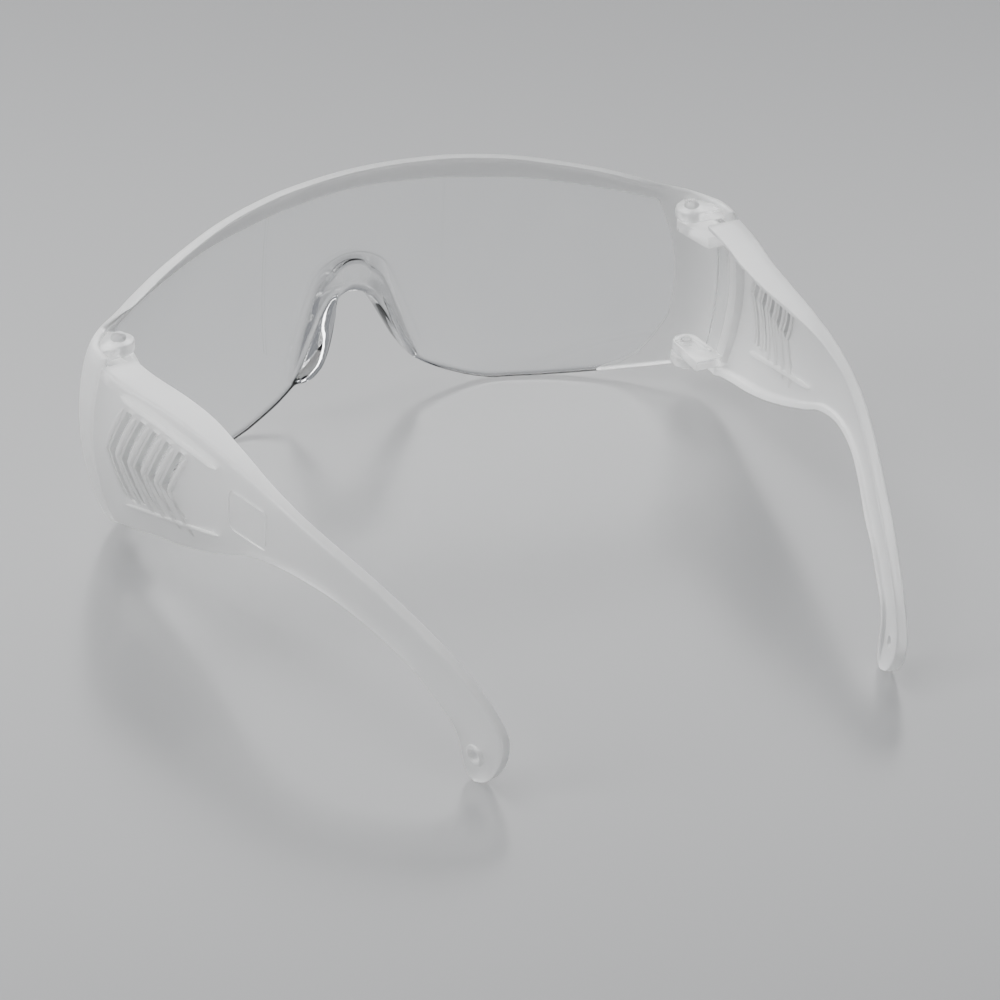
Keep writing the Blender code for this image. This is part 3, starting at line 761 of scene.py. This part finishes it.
# %% Node groups
class Tree:
    """A Geometry Nodes group under construction."""

    def __init__(self, name, sizes):
        self.group = bpy.data.node_groups.new(name, "GeometryNodeTree")
        face = self.group.interface
        face.new_socket("Geometry", in_out="OUTPUT", socket_type="NodeSocketGeometry")
        face.new_socket("Geometry", in_out="INPUT", socket_type="NodeSocketGeometry")
        for size, kind in sizes.items():
            face.new_socket(size, in_out="INPUT", socket_type=kind)
        self.given = self.group.nodes.new("NodeGroupInput")

    def node(self, kind, settings=None, inputs=None, output=0):
        made = self.group.nodes.new(kind)
        for name, value in (settings or {}).items():
            setattr(made, name, value)
        for name, value in (inputs or {}).items():
            if isinstance(value, bpy.types.NodeSocket):
                self.group.links.new(value, made.inputs[name])
            else:
                made.inputs[name].default_value = value
        return made.outputs[output]

    def size(self, name):
        return self.given.outputs[name]

    def end(self, geometry, finish):
        real = self.node("GeometryNodeRealizeInstances", inputs={0: geometry})
        painted = self.node("GeometryNodeSetMaterial", inputs={"Geometry": real, "Material": finish})
        out = self.group.nodes.new("NodeGroupOutput")
        self.group.links.new(painted, out.inputs[0])

    def grow(self, name, points, values):
        """A plain mesh object: the group run on bare points, with these sizes."""
        mesh = bpy.data.meshes.new(name)
        mesh.from_pydata(points, [], [])
        made = bpy.data.objects.new(name, mesh)
        bpy.context.scene.collection.objects.link(made)
        modifier = made.modifiers.new("grow", "NODES")
        modifier.node_group = self.group
        for item in self.group.interface.items_tree:
            if item.in_out == "INPUT" and item.name in values:
                modifier[item.identifier] = values[item.name]
        result = evaluated_mesh(made)
        made.modifiers.clear()
        made.data = result
        return made


# %% Pins
PIN_PROFILE = [
    (0.15, 1.7), (0.7, 1.62), (1.2, 1.4), (1.55, 1.05), (1.76, 0.6), (1.8, 0.2), (1.72, 0.03),
    (1.5, 0.0), (1.1, -0.02),
]


def turned(profile, name, segments=32):
    """Solid of revolution about Z, from (radius, height) in mm."""
    rings = []
    for radius, height in profile:
        rings.append([(x, y, height * MM) for x, y in circle((0, 0), radius * MM, segments)])
    return loft(rings, name)


def pin_tree():
    """The pin, handed in as an object, on each seat. Seats below the middle turn it over."""
    tree = Tree("hinge_pins", {"Pin": "NodeSocketObject", "Middle": "NodeSocketFloat"})
    pin = tree.node("GeometryNodeObjectInfo", inputs={"Object": tree.size("Pin")}, output="Geometry")
    place = tree.node("GeometryNodeInputPosition")
    height = tree.node("ShaderNodeSeparateXYZ", inputs={"Vector": place}, output=2)
    lower = tree.node("ShaderNodeMath", {"operation": "LESS_THAN"}, {0: height, 1: tree.size("Middle")})
    turn = tree.node("ShaderNodeMath", {"operation": "MULTIPLY"}, {0: lower, 1: math.pi})
    tilt = tree.node("ShaderNodeCombineXYZ", inputs={"X": turn})
    pins = tree.node("GeometryNodeInstanceOnPoints", inputs={
        "Points": tree.size("Geometry"), "Instance": pin, "Rotation": tilt})
    tree.end(pins, CLEAR)
    return tree


def build_pins():
    seats = []
    for side in (1, -1):
        x, y = hinge_point(side)
        seats += [(x, y, UPPER_EAR[1] + FIT / 3), (x, y, LOWER_EAR[0] - FIT / 3)]
    end = (UPPER_KNUCKLE[0] - UPPER_EAR[1]) / MM
    shank = [(1.1, end * k / 6) for k in range(1, 6)] + [(1.1, end + 0.3), (0.9, end), (0.2, end)]
    pin = turned(PIN_PROFILE + shank, "pin")
    pins = pin_tree().grow("hinge_pins", seats, {"Pin": pin, "Middle": (UPPER_EAR[0] + LOWER_EAR[1]) / 2})
    bpy.data.objects.remove(pin)
    return finished(pins, "front", CLEAR)


pins = build_pins()
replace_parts(pins, *[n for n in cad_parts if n.startswith("hinge_pin")])

# %% [markdown]
# ## The temples
#
# A temple is a channel: a thin side wall with a wide flange along its top edge and a narrow one
# along the bottom. The flanges stiffen it, so the wall can be cut by louvres. Towards the tip
# the channel closes up into a curved bar that hooks behind the ear. One loft of rounded
# sections makes it, with the sections square to the arm, and then the cuts are made flat and
# the whole is bent on to the skin.

# %% Measures of the temple
SEAM_GAP = 0.5 * MM
TONGUE_START, TONGUE_LAP, TONGUE_WALL = 1.4 * MM, 3.0 * MM, 1.4 * MM
TEMPLE_WALL = 1.8 * MM
TEMPLE_REACH = 139.5 * MM
FLANGE_WALL = 1.5 * MM
RIM_DEPTH = 2.5 * MM
EDGE_FINE = 8
TOP_EDGE = [
    (8.8, 46.5), (19, 46.6), (29, 46.8), (40, 47.0), (50, 46.9), (59, 46.5), (67, 45.7),
    (78, 43.9), (90, 41.0), (101, 37.6), (110, 34.2),
]
BOTTOM_EDGE = [
    (8.8, 6.6), (19, 9.3), (29, 12.0), (39, 15.0), (49, 18.8), (58, 22.8), (66, 26.6),
    (77, 28.9), (89, 28.8), (99, 26.6), (108, 23.2),
]
TIP_TOP = [
    (19.0, 29.6), (12.0, 25.6), (6.2, 21.4), (1.8, 17.0), (0, 13.2), (0.6, 8.0), (2.7, 4.0),
    (5.2, 1.4), (7.8, 0.2),
]
TIP_BOTTOM = [
    (25.5, 20.8), (19.5, 16.7), (14.5, 12.8), (12.4, 9.0), (11.9, 6.2), (11.6, 4.0), (11.0, 2.0),
    (10.1, 0.8), (8.9, 0.1),
]
TOP_FLANGE = [(8, 8.5), (40, 7.0), (55, 5.0), (68, 3.4), (80, 2.6)]
BOTTOM_FLANGE = [(8, 3.0), (30, 3.2), (60, 3.0), (75, 2.6)]
SLOTS = 5
SLOT_PITCH, SLOT_WIDTH = 4.9 * MM, 2.0 * MM
SLOT_POINTS = [(21.5, 41.8), (16.5, 30.5), (23.0, 20.0)]
SLOT_DROP = (-0.2, 0, 1.4)
RIDGES = [((18.0, 43.8), (54.5, 42.7)), ((20.0, 17.2), (56.0, 26.8))]
PAD = (60.0 * MM, 73.5 * MM, 31.2 * MM, 41.0 * MM)
PAD_SINK, PAD_CORNER, PAD_BORDER = 0.35 * MM, 2.0 * MM, 0.55 * MM
EYELET_AHEAD, EYELET_HEIGHT = 7.5 * MM, 7.4 * MM
EYELET_HOLE, EYELET_RING, EYELET_STAND = 1.3 * MM, 2.6 * MM, 0.6 * MM


def refine(points, steps):
    """Catmull-Rom points through a list of 2-D points, steps to each stretch."""
    ends = [points[0]] + points + [points[-1]]
    found = []
    for a, b, c, d in zip(ends, ends[1:], ends[2:], ends[3:]):
        for k in range(steps):
            t = k / steps
            found.append(tuple(
                0.5 * (2 * b[i] + t * (c[i] - a[i])
                       + t * t * (2 * a[i] - 5 * b[i] + 4 * c[i] - d[i])
                       + t ** 3 * (3 * b[i] - a[i] - 3 * c[i] + d[i])) for i in (0, 1)))
    return found + [points[-1]]


def temple_edges():
    """Matching points of the top and bottom edges, as (run, height)."""
    edges = []
    for along, tip in ((TOP_EDGE, TIP_TOP), (BOTTOM_EDGE, TIP_BOTTOM)):
        line = [(behind_hinge(d * MM), h * MM) for d, h in along]
        line += [(behind_hinge(TEMPLE_REACH - d * MM), h * MM) for d, h in tip]
        edges.append(refine(line, EDGE_FINE))
    return edges


# %% [markdown]
# The section has eight corners. Each is rounded by a short curve, outside ones by the cutter's
# radius and inside ones by the fillet that lets the plastic flow. A helper rounds the corners
# and splits the long sides, and always returns the same number of points.

# %% Rounded section
ARC_STEPS = 4


def rounded(corners, radii, splits):
    """Closed outline with rounded corners. splits says how many steps each side has."""
    count = len(corners)
    arcs = []
    for k in range(count):
        before, here, after = (Vector(corners[(k + j) % count]) for j in (-1, 0, 1))
        back, on = before - here, after - here
        reach = min(radii[k], back.length * 0.45, on.length * 0.45)
        start, end = here + back.normalized() * reach, here + on.normalized() * reach
        arcs.append([start.lerp(here, t).lerp(here.lerp(end, t), t)
                     for t in (j / ARC_STEPS for j in range(ARC_STEPS + 1))])
    outline = []
    for k in range(count):
        outline += arcs[k]
        a, b = arcs[k][-1], arcs[(k + 1) % count][0]
        outline += [a.lerp(b, j / splits[k]) for j in range(1, splits[k])]
    return outline


def temple_section(width, wall, upper, lower):
    """Outline in (distance from the bottom edge, depth)."""
    lip = min(FLANGE_WALL, width / 3)
    corners = [(0, 0), (width, 0), (width, upper), (width - lip, upper), (width - lip, wall),
               (lip, wall), (lip, lower), (0, lower)]
    outer, inner, fillet = 0.55 * MM, 0.35 * MM, 0.7 * MM
    radii = [outer, outer, inner, inner, fillet, fillet, inner, inner]
    return rounded(corners, radii, [16, 5, 1, 4, 13, 2, 1, 2])


def temple_body():
    top, bottom = temple_edges()
    last = len(top) - 1
    rings = []
    for i, (high, low) in enumerate(zip(top, bottom)):
        across = Vector((high[0] - low[0], high[1] - low[1]))
        width = across.length
        back = plan((high[0] + low[0]) / 2)[1] - HINGE_SETBACK
        solid = ease(last - 4 * EDGE_FINE, last - EDGE_FINE, i)
        wall = TEMPLE_WALL + (RIM_DEPTH - TEMPLE_WALL) * solid
        upper, lower = smooth_mm(TOP_FLANGE, back), smooth_mm(BOTTOM_FLANGE, back)
        across.normalize()
        section = temple_section(width, wall, upper, lower)
        rings.append([(low[0] + across.x * q, low[1] + across.y * q, -d) for q, d in section])
    return loft(rings, "temple", folded=False)


# %% [markdown]
# ## Cuts, tongue and details of a temple
#
# The louvres are chevron slots. The ribs between them are raised, and they are the thing that
# repeats, so a node group sets one chevron bar on a row of points. The tongue laps inside the
# shield and keeps the seam closed. The pad is a blank panel with a fine border, where a maker
# would stamp a mark.

# %% Cutters
CUT_RUN, CUT_HEIGHT = 2.0 * MM, 3.0 * MM
PAST, HAIR = 2 * MM, 0.1 * MM


def in_strips(made):
    """The object with its faces cut at regular runs and heights, so that it can bend."""
    bm = bmesh.new()
    bm.from_mesh(made.data)
    for axis, spacing in ((0, CUT_RUN), (1, CUT_HEIGHT)):
        low = min(v.co[axis] for v in bm.verts)
        high = max(v.co[axis] for v in bm.verts)
        count = round((high - low) / spacing)
        normal = Vector((0, 0, 0))
        normal[axis] = 1
        for k in range(1, count):
            point = normal * (low + (high - low) * k / count)
            everything = bm.verts[:] + bm.edges[:] + bm.faces[:]
            bmesh.ops.bisect_plane(bm, geom=everything, plane_co=point, plane_no=normal, dist=1e-5)
    bm.to_mesh(made.data)
    bm.free()
    return made


def slot_line(k, shift=0.0):
    """The chevron of slot k, moved back by shift, from top to bottom."""
    return [(behind_hinge(d * MM + k * SLOT_PITCH + shift), (h + k * drop) * MM)
            for (d, h), drop in zip(SLOT_POINTS, SLOT_DROP)]


def slot_cutters():
    outlines = [slot_line(k) + slot_line(k, SLOT_WIDTH)[::-1] for k in range(SLOTS)]
    return [in_strips(prism(line, -TEMPLE_WALL - PAST, PAST, "slot")) for line in outlines]


def tongue():
    """The lap behind the shield's rear edge, and the step that joins it to the temple wall."""
    outer = SHIELD_WALL + FIT
    back = SEAM_SETBACK + TONGUE_LAP

    def panel(start, end, inset):
        low, high = LOWER_KNUCKLE[0] + inset, UPPER_KNUCKLE[1] - inset
        front, rear = behind_hinge(start), behind_hinge(end - inset)
        return [(front, low), (rear, low), (rear, high), (front, high)]

    lap = prism(panel(TONGUE_START, back, 0), -outer - TONGUE_WALL, -outer, "lap")
    step = prism(panel(SEAM_SETBACK + SEAM_GAP + HAIR, back, 2 * HAIR),
                 -outer - TONGUE_WALL / 2, -TEMPLE_WALL / 2, "step")
    return [in_strips(lap), in_strips(step)]


def round_box(d0, d1, h0, h1, corner, steps=5):
    points = []
    for d, h, start in ((d1 - corner, h1 - corner, 0), (d0 + corner, h1 - corner, 90),
                        (d0 + corner, h0 + corner, 180), (d1 - corner, h0 + corner, 270)):
        for k in range(steps + 1):
            angle = math.radians(start + 90 * k / steps)
            points.append((behind_hinge(d + corner * math.cos(angle)), h + corner * math.sin(angle)))
    return points


def pad_cutters():
    """A fine moat round a panel that stays at the level of the wall."""
    moat = prism(round_box(*PAD, PAD_CORNER), -PAD_SINK, PAST, "moat")
    d0, d1, h0, h1 = PAD
    island = prism(round_box(d0 + PAD_BORDER, d1 - PAD_BORDER, h0 + PAD_BORDER, h1 - PAD_BORDER,
                             PAD_CORNER - PAD_BORDER), -PAD_SINK - PAST, PAST + HAIR, "island")
    return [in_strips(combine(moat, [island], "DIFFERENCE"))]


def eyelet(radius, low, high):
    centre = (behind_hinge(TEMPLE_REACH - EYELET_AHEAD), EYELET_HEIGHT)
    return prism(circle(centre, radius, 36), low, high, "eyelet")


def wrap(made, side):
    """Bend a flat object on to the skin of one side, with its faces kept outward."""
    bm = bmesh.new()
    bm.from_mesh(made.data)
    bmesh.ops.remove_doubles(bm, verts=bm.verts, dist=HAIR / 8)
    bmesh.ops.holes_fill(bm, edges=bm.edges, sides=4)
    layer = bm.verts.layers.float.new("behind_seam")
    bmesh.ops.triangulate(bm, faces=[f for f in bm.faces if len(f.verts) > 4])
    for vert in bm.verts:
        run, height, level = vert.co
        vert[layer] = clamp((run - SEAM_RUN) / MM, 0, 2)
        vert.co = bend(side * run, height, -level)
    if side < 0:
        bmesh.ops.reverse_faces(bm, faces=bm.faces)
    bm.to_mesh(made.data)
    bm.free()
    return made


# %% Knuckles
KNUCKLE_RADIUS, KNUCKLE_CLEAR = 3.2 * MM, 3.4 * MM


def knuckle(side, levels):
    """Tab of the temple round a pin, drawn back to the lap behind the shield."""
    back = SEAM_SETBACK + TONGUE_LAP
    tightest = max(levels, key=lambda height: bulge_in(behind_hinge(back), height))
    outline = circle(hinge_point(side), KNUCKLE_RADIUS)
    for setback, depth in (
        (SEAM_SETBACK - TONGUE_LAP, KNUCKLE_CLEAR),
        (SEAM_SETBACK + SEAM_GAP, KNUCKLE_CLEAR),
        (back, SHIELD_WALL + FIT),
        (back, KNUCKLE_CLEAR + 2 * KNUCKLE_RADIUS),
    ):
        point = bend(side * behind_hinge(setback), tightest, depth)
        outline.append((point.x, point.y))
    return bevel(prism(hull(outline), *levels, name="knuckle"), 0.35 * MM, 2)


def build_temple(side, name):
    temple = temple_body()
    combine(temple, tongue(), "UNION")
    combine(temple, slot_cutters() + pad_cutters() + [eyelet(EYELET_HOLE, -4 * MM, PAST)], "DIFFERENCE")
    wrap(temple, side)
    both = (LOWER_KNUCKLE, UPPER_KNUCKLE)
    combine(temple, [knuckle(side, levels) for levels in both], "UNION")
    combine(temple, [bore(side, levels) for levels in both], "DIFFERENCE")
    temple.name = temple.data.name = name
    return temple


# %% [markdown]
# The ribs, the ridges above and below them and the ring of the eyelet stand proud of the wall
# on both faces. Each has a round back. One rounded bar is lofted along the chevron, and the rib
# group sets a copy of it on each point of a row.

# %% Ribs, ridges and eyelet rings
RIB_WIDTH, RIB_STAND = 1.5 * MM, 0.55 * MM
RIDGE_WIDTH, RIDGE_STAND = 1.3 * MM, 0.6 * MM


def bar(line, width, low, high, name, rows=14):
    """Rounded bar along a flat line of (run, height), between two levels of depth."""
    points = []
    for a, b in zip(line, line[1:]):
        points += [Vector(a).lerp(Vector(b), k / rows) for k in range(rows)]
    points.append(Vector(line[-1]))
    half = width / 2
    middle, reach = (low + high) / 2, (high - low) / 2
    rings = []
    for i, point in enumerate(points):
        before, after = points[max(0, i - 1)], points[min(len(points) - 1, i + 1)]
        along = (after - before).normalized()
        across = Vector((-along.y, along.x))
        ends = min(i, len(points) - 1 - i)
        taper = (0.35, 0.8, 1.0)[min(ends, 2)]
        ring = []
        for k in range(16):
            angle = 2 * math.pi * k / 16
            c, s = math.cos(angle), math.sin(angle)
            square = (abs(c) ** 4 + abs(s) ** 4) ** -0.25
            place = point + across * (half * c * square * taper)
            ring.append((place.x, place.y, -(middle + reach * s * square * (0.6 + 0.4 * taper))))
        rings.append(ring)
    return loft(rings, name)


def rib_tree():
    """One chevron bar, handed in as an object, set on every point of a row."""
    tree = Tree("louvre_ribs", {"Rib": "NodeSocketObject", "Lean": "NodeSocketFloat"})
    rib = tree.node("GeometryNodeObjectInfo", inputs={"Object": tree.size("Rib")}, output="Geometry")
    index = tree.node("GeometryNodeInputIndex")
    drop = tree.node("ShaderNodeMath", {"operation": "MULTIPLY"}, {0: index, 1: tree.size("Lean")})
    shrink = tree.node("ShaderNodeMath", {"operation": "SUBTRACT"}, {0: 1.0, 1: drop})
    scale = tree.node("ShaderNodeCombineXYZ", inputs={"X": 1.0, "Y": shrink, "Z": 1.0})
    row = tree.node("GeometryNodeInstanceOnPoints", inputs={
        "Points": tree.size("Geometry"), "Instance": rib, "Scale": scale})
    tree.end(row, FROSTED)
    return tree


RIB_TREE = rib_tree()


def build_ribs(side, name):
    """Six ribs beside the five slots, centred on the elbow so that the lean keeps it in line."""
    elbow_run, elbow_height = slot_line(0)[1]
    line = [(run - elbow_run, height - elbow_height) for run, height in slot_line(0)]
    rib = bar(line, RIB_WIDTH, -RIB_STAND, TEMPLE_WALL + RIB_STAND, "rib")
    start = -(SLOT_PITCH - SLOT_WIDTH) / 2
    row = [(elbow_run + start + k * SLOT_PITCH, elbow_height, 0) for k in range(SLOTS + 1)]
    ribs = RIB_TREE.grow(name, row, {"Rib": rib, "Lean": 0.026})
    bpy.data.objects.remove(rib)
    return wrap(ribs, side)


def build_trim(side, name):
    """The two ridges and the ring of the eyelet, joined as one piece."""
    parts = []
    for (d0, h0), (d1, h1) in RIDGES:
        line = [(behind_hinge(d0 * MM), h0 * MM), (behind_hinge(d1 * MM), h1 * MM)]
        parts.append(bar(line, RIDGE_WIDTH, -RIDGE_STAND, TEMPLE_WALL + RIDGE_STAND, "ridge", rows=26))
    centre = (behind_hinge(TEMPLE_REACH - EYELET_AHEAD), EYELET_HEIGHT)
    rings = []
    tube = (EYELET_RING - EYELET_HOLE) / 2
    for k in range(48):
        turn = 2 * math.pi * k / 48
        ring = []
        for j in range(10):
            angle = 2 * math.pi * j / 10
            radius = EYELET_HOLE + tube + tube * math.cos(angle)
            ring.append((centre[0] + radius * math.cos(turn), centre[1] + radius * math.sin(turn),
                         EYELET_STAND * math.sin(angle)))
        rings.append(ring)
    parts.append(torus(rings))
    bm = bmesh.new()
    for part in parts:
        bm.from_mesh(part.data)
        bpy.data.objects.remove(part)
    return wrap(new_object(name, bm), side)


def torus(rings):
    """Ring of rings, joined end to end."""
    bm = bmesh.new()
    rows = [[bm.verts.new(point) for point in ring] for ring in rings]
    count = len(rings[0])
    for a, b in zip(rows, rows[1:] + rows[:1]):
        for k in range(count):
            bm.faces.new((a[k], a[(k + 1) % count], b[(k + 1) % count], b[k]))
    bmesh.ops.recalc_face_normals(bm, faces=bm.faces)
    return new_object("ring", bm)


for side, hand in ((1, "left"), (-1, "right")):
    body, slot, node = f"{hand}_temple", "frosted_polycarbonate", f"temple_{hand}"
    temple = build_temple(side, f"temple_moulding_{hand}")
    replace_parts(finished(temple, body, FROSTED), node)
    for build, name in ((build_ribs, "louvre_ribs"), (build_trim, "temple_trim")):
        piece = build(side, f"{name}_{hand}")
        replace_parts(finished(piece, body, FROSTED), node)

# %% [markdown]
# ## Camera, floor and light
#
# A long lens from behind and above one shoulder shows the inside of the shield and both
# temples. The floor is plain and pale, with a soft sheen. One wide lamp above gives the soft
# light of a studio, and two more, to the side and behind, brighten the frosted edges.

# %% Stage
CAMERA_PLACE = Vector((0.55677, 1.01769, 0.69205))
CAMERA_AZIMUTH, CAMERA_ELEVATION, CAMERA_ROLL = 151.518, 30.268, 1.187
LENS, SENSOR = 216.0, 36.0
FLOOR_HALF, FLOOR_LEVEL = 6.0, -0.0001


def camera_turn(azimuth, elevation, roll):
    a, e, r = (math.radians(v) for v in (azimuth, elevation, roll))
    back = Vector((math.sin(a) * math.cos(e), -math.cos(a) * math.cos(e), math.sin(e)))
    level = Vector((0, 0, 1)).cross(back).normalized()
    right = level * math.cos(r) + back.cross(level) * math.sin(r)
    return Matrix((right, back.cross(right), back)).transposed()


def build_camera():
    camera = bpy.data.objects.new("camera", bpy.data.cameras.new("camera"))
    camera.data.lens, camera.data.sensor_width = LENS, SENSOR
    camera.data.clip_start, camera.data.clip_end = 0.02, 30.0
    turn = camera_turn(CAMERA_AZIMUTH, CAMERA_ELEVATION, CAMERA_ROLL)
    camera.matrix_world = Matrix.Translation(CAMERA_PLACE) @ turn.to_4x4()
    bpy.context.scene.collection.objects.link(camera)
    bpy.context.scene.camera = camera


def build_floor():
    bm = bmesh.new()
    bm.faces.new([bm.verts.new((x * FLOOR_HALF, y * FLOOR_HALF, FLOOR_LEVEL)) for x, y in
                  ((-1, -1), (1, -1), (1, 1), (-1, 1))])
    floor = new_object("floor", bm)
    finish = Finish("pale_floor")
    cloud = finish.noise(finish.place(), 3.0)
    shader = finish.node("ShaderNodeBsdfPrincipled", inputs={
        "Base Color": finish.tint(cloud, (0.285, 0.287, 0.29), (0.305, 0.307, 0.31)),
        "Roughness": cloud * 0.06 + 0.22,
    })
    floor.data.materials.append(finish.end(shader))


def lamp(name, place, aim, size, power, height=None):
    light = bpy.data.lights.new(name, "AREA")
    light.shape = "RECTANGLE"
    light.size, light.size_y, light.energy = size, height or size, power
    made = bpy.data.objects.new(name, light)
    back = (Vector(place) - Vector(aim)).normalized()
    made.matrix_world = Matrix.Translation(place) @ back.to_track_quat("Z", "Y").to_matrix().to_4x4()
    bpy.context.scene.collection.objects.link(made)


def build_light():
    world = bpy.data.worlds.new("studio")
    world.use_nodes = True
    world.node_tree.nodes["Background"].inputs["Color"].default_value = (0.9, 0.93, 1.0, 1)
    world.node_tree.nodes["Background"].inputs["Strength"].default_value = 0.3
    bpy.context.scene.world = world
    middle = (0, 0, 0.03)
    lamp("overhead", (0.35, -0.3, 1.2), middle, 0.7, 14)
    lamp("side", (1.2, -0.3, 0.7), middle, 0.5, 13, 0.9)
    lamp("back", (-0.6, -1.3, 0.9), middle, 1.2, 9, 0.5)


build_camera()
build_floor()
build_light()
